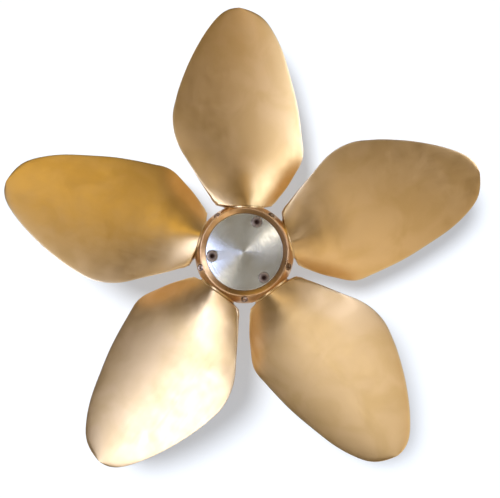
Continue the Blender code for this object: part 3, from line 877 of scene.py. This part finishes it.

# %% [markdown]
# The heads of the three countersunk screws sit just below the anode's face. Their sockets are the
# darkest spots of the picture, because they hold old grease and little light finds its way into a
# deep hexagon. A painted darkening, partly grease and partly painted shade of the socket, covers the
# socket and the metal next to it, and thins out to the rim.

# %% Anode screws
SCREW_EDGE = 0.3 * MM
SCREW_TIP_EDGE = 0.4 * MM
SCREW_KEY, SCREW_KEY_DEPTH = 5 * MM, 3 * MM
SCREW_SIDES = 48
GREASE_AND_SHADE_RADIUS = 3.5 * MM

for number in range(SCREW_COUNT):
    top = anode_top(SCREW_CIRCLE) - SCREW_SUNK
    corners = [(0, top, 0), (SCREW_HEAD_RADIUS, top, SCREW_EDGE),
               (SCREW_RADIUS, top - SCREW_HEAD_HEIGHT, SCREW_EDGE),
               (SCREW_RADIUS, SCREW_TIP, SCREW_TIP_EDGE), (0, SCREW_TIP, 0)]
    form = cut_out(spin_profile(soften(corners), SCREW_SIDES), [hex_key(SCREW_KEY, top, SCREW_KEY_DEPTH)])
    # Painted darkening round the socket, full near it and gone at the rim: old grease and painted shade of
    # the socket.
    grease_and_shade_of = form.verts.layers.float.new("grease_and_painted_shade")
    for vert in form.verts:
        towards_rim = (math.hypot(vert.co.x, vert.co.y) - GREASE_AND_SHADE_RADIUS) / (SCREW_HEAD_RADIUS - GREASE_AND_SHADE_RADIUS)
        vert[grease_and_shade_of] = min(max(1 - towards_rim, 0), 1)
    moved(form, on_circle(SCREW_CIRCLE, screw_azimuth(number)))
    node = f"anode_screw_{number + 1}"
    add_piece("fine_" + node, form, stained_steel, "hub", node)

# %% [markdown]
# From the forward side the inner boss shows, which the shaft is keyed to. Its bore tapers by one
# in ten on the diameter, and a keyway runs along it at the same slope. The keyway is a cube that
# is stretched to the cutter's corners.

# %% Shaft boss
BOSS_RADIUS = 40 * MM
BOSS_BOTTOM = 2 * MM
BOSS_TOP = 127 * MM
BOSS_EDGE = 1.5 * MM
SMALL_END_EDGE, LARGE_END_EDGE = 0.5 * MM, 0.8 * MM
TAPER_LARGE_RADIUS = 25 * MM
TAPER_PER_LENGTH = 0.05
KEYWAY_WIDTH = 14 * MM
KEYWAY_DEPTH = 4.5 * MM

small_radius = TAPER_LARGE_RADIUS - TAPER_PER_LENGTH * (BOSS_TOP - BOSS_BOTTOM)
corners = [(small_radius, BOSS_TOP, SMALL_END_EDGE), (BOSS_RADIUS, BOSS_TOP, BOSS_EDGE),
           (BOSS_RADIUS, BOSS_BOTTOM, BOSS_EDGE), (TAPER_LARGE_RADIUS, BOSS_BOTTOM, LARGE_END_EDGE)]
keyway = bmesh.new()
bmesh.ops.create_cube(keyway, size=1, matrix=Matrix.Diagonal((KEYWAY_WIDTH, 1, 1, 1)))
for vert in keyway.verts:
    vert.co.z = BOSS_TOP + OVERSHOOT if vert.co.z > 0 else BOSS_BOTTOM - OVERSHOOT
    bed = TAPER_LARGE_RADIUS + KEYWAY_DEPTH - TAPER_PER_LENGTH * (vert.co.z - BOSS_BOTTOM)
    vert.co.y = bed if vert.co.y > 0 else 0
form = cut_out(spin_profile(soften(corners), closed=True), [keyway])
add_piece("fine_shaft_boss", form, bored_bronze, "hub", "shaft_boss")

# %% [markdown]
# The propeller lies on a plain white table. In the photograph the table is white right up to the
# blades, with one soft shadow towards the lower right that stays pale even in the narrow gaps. A
# product table does that: it is opal acrylic with a light below it, so it glows a little by itself.
# Metal shows almost nothing but what it mirrors, so the lamps do two separate jobs. A wide, soft
# sun lights the table and draws the shadow, and the metal doesn't mirror it. The softboxes are
# there to be mirrored in the metal and don't light the table.

# %% Table and shadow
TABLE_SIZE = 12.0
TABLE_COLOUR = "#A6ABB2"
TABLE_ROUGHNESS = 0.8
GLOW_COLOUR = "#F6F9FF"
SUN_AZIMUTH, SUN_FROM_VERTICAL = 140, 22
SUN_WIDTH = math.radians(20)
SUN_STRENGTH = 4.55
TABLE_GLOW = 0.42


def direction(azimuth, from_vertical):
    """A unit vector from the hub, by the angle round the shaft and the angle from straight up."""
    around, down = math.radians(azimuth), math.radians(from_vertical)
    return Vector((math.sin(down) * math.cos(around), math.sin(down) * math.sin(around), math.cos(down)))


table_form = bmesh.new()
bmesh.ops.create_grid(table_form, x_segments=1, y_segments=1, size=TABLE_SIZE / 2)
table = bpy.data.objects.new("table", to_mesh(table_form, "table"))
bpy.context.scene.collection.objects.link(table)
acrylic = bpy.data.materials.new("opal acrylic")
acrylic.use_nodes = True
shader = acrylic.node_tree.nodes["Principled BSDF"]
shader.inputs["Base Color"].default_value = linear(TABLE_COLOUR)
shader.inputs["Roughness"].default_value = TABLE_ROUGHNESS
shader.inputs["Specular IOR Level"].default_value = 0
shader.inputs["Emission Color"].default_value = linear(GLOW_COLOUR)
shader.inputs["Emission Strength"].default_value = TABLE_GLOW
table.data.materials.append(acrylic)

sun = bpy.data.objects.new("table sun", bpy.data.lights.new("table sun", "SUN"))
bpy.context.scene.collection.objects.link(sun)
sun.data.energy = SUN_STRENGTH
sun.data.angle = SUN_WIDTH
sun.rotation_euler = direction(SUN_AZIMUTH, SUN_FROM_VERTICAL).to_track_quat("Z", "Y").to_euler()
sun.visible_glossy = False
print("table", TABLE_SIZE, "m across")

# %% [markdown]
# Each softbox or card is placed by where a mirror in the blade plane would see it: a direction
# round the shaft, an angle from straight up, and how wide and tall it looks from there in degrees.
# Its brightness is what the camera sees mirrored, so the power follows from its area. The strongest
# one is overhead to the left, which whitens the lower left blade, and the next is low on the right,
# which lights the edge of the top blade. A warm card at the top gives the left blade its deep gold.
# Two narrow strip lights, one on each side of the camera, draw the bright fan on the anode.

# %% Softboxes and cards
LAMP_DISTANCE = 5.0
# Azimuth, angle from straight up, width and height in degrees, then brightness and colour.
SOFTBOXES = {
    "overhead softbox": (183, 27, 20, 26, 10.2, "#B6C9FF"),
    "right softbox": (20, 66, 22, 24, 5.9, "#BFD4FF"),
    "right card": (8, 49, 20, 16, 3.1, "#DEE4FF"),
    "lower left softbox": (237, 32, 30, 20, 1.95, "#E6EEFF"),
    "upper left card": (144, 30, 16, 14, 1.3, "#ECF3FF"),
    "lower right card": (298, 50, 26, 60, 1.12, "#FFF9F0"),
    "far right card": (332, 68, 20, 24, 0.8, "#FFF0DC"),
    "gold card": (110, 49, 30, 26, 1.12, "#FFE786"),
    "upper right card": (46, 50, 24, 20, 0.8, "#FFEBC8"),
    "upper strip light": (42, 12, 4, 12, 3.9, "#FFFBF4"),
    "lower strip light": (222, 12, 4, 12, 2.2, "#FFFBF4"),
}


def add_softbox(name, azimuth, from_vertical, wide, tall, brightness, colour):
    """Hang an area lamp that the metal mirrors, unseen by the camera and the table."""
    towards = direction(azimuth, from_vertical)
    sideways = direction(azimuth + 90, 90)
    upward = towards.cross(sideways)
    lamp = bpy.data.lights.new(name, "AREA")
    lamp.shape = "RECTANGLE"
    lamp.size = 2 * LAMP_DISTANCE * math.tan(math.radians(wide / 2))
    lamp.size_y = 2 * LAMP_DISTANCE * math.tan(math.radians(tall / 2))
    lamp.energy = brightness * math.pi * lamp.size * lamp.size_y
    lamp.color = linear(colour)[:3]
    item = bpy.data.objects.new(name, lamp)
    bpy.context.scene.collection.objects.link(item)
    place = Matrix((sideways, upward, towards)).transposed().to_4x4()
    item.matrix_world = Matrix.Translation(Vector((0, 0, BLADE_PLANE)) + towards * LAMP_DISTANCE) @ place
    item.visible_diffuse = False
    item.visible_camera = False


for name, settings in SOFTBOXES.items():
    add_softbox(name, *settings)
print(len(SOFTBOXES), "softboxes and cards")

# %% [markdown]
# The room round the table is the world. What the metal mirrors of it is dim and warm, but the table
# gets more light from it, so that its shadow stays pale, and a camera that looks past the table
# sees a pale wall. The Light Path node tells the three apart. The Standard view transform keeps
# white where the photograph burnt out.

# %% Room
ROOM_MIRRORED = "#61553F"
ROOM_ON_TABLE = "#959595"
ROOM_SEEN = "#E4E6E8"

world = bpy.data.worlds.new("studio")
bpy.context.scene.world = world
world.use_nodes = True
tree = world.node_tree
ray = add_node(tree, "LightPath", {}).node.outputs
room = add_node(tree, "Mix", {"data_type": "RGBA", "Factor": ray["Is Glossy Ray"],
                              "A": linear(ROOM_ON_TABLE), "B": linear(ROOM_MIRRORED)})
room = add_node(tree, "Mix", {"data_type": "RGBA", "Factor": ray["Is Camera Ray"],
                              "A": room, "B": linear(ROOM_SEEN)})
tree.links.new(room, tree.nodes["Background"].inputs["Color"])
bpy.context.scene.view_settings.view_transform = "Standard"
print("room seen", ROOM_SEEN, "on the table", ROOM_ON_TABLE, "mirrored", ROOM_MIRRORED)
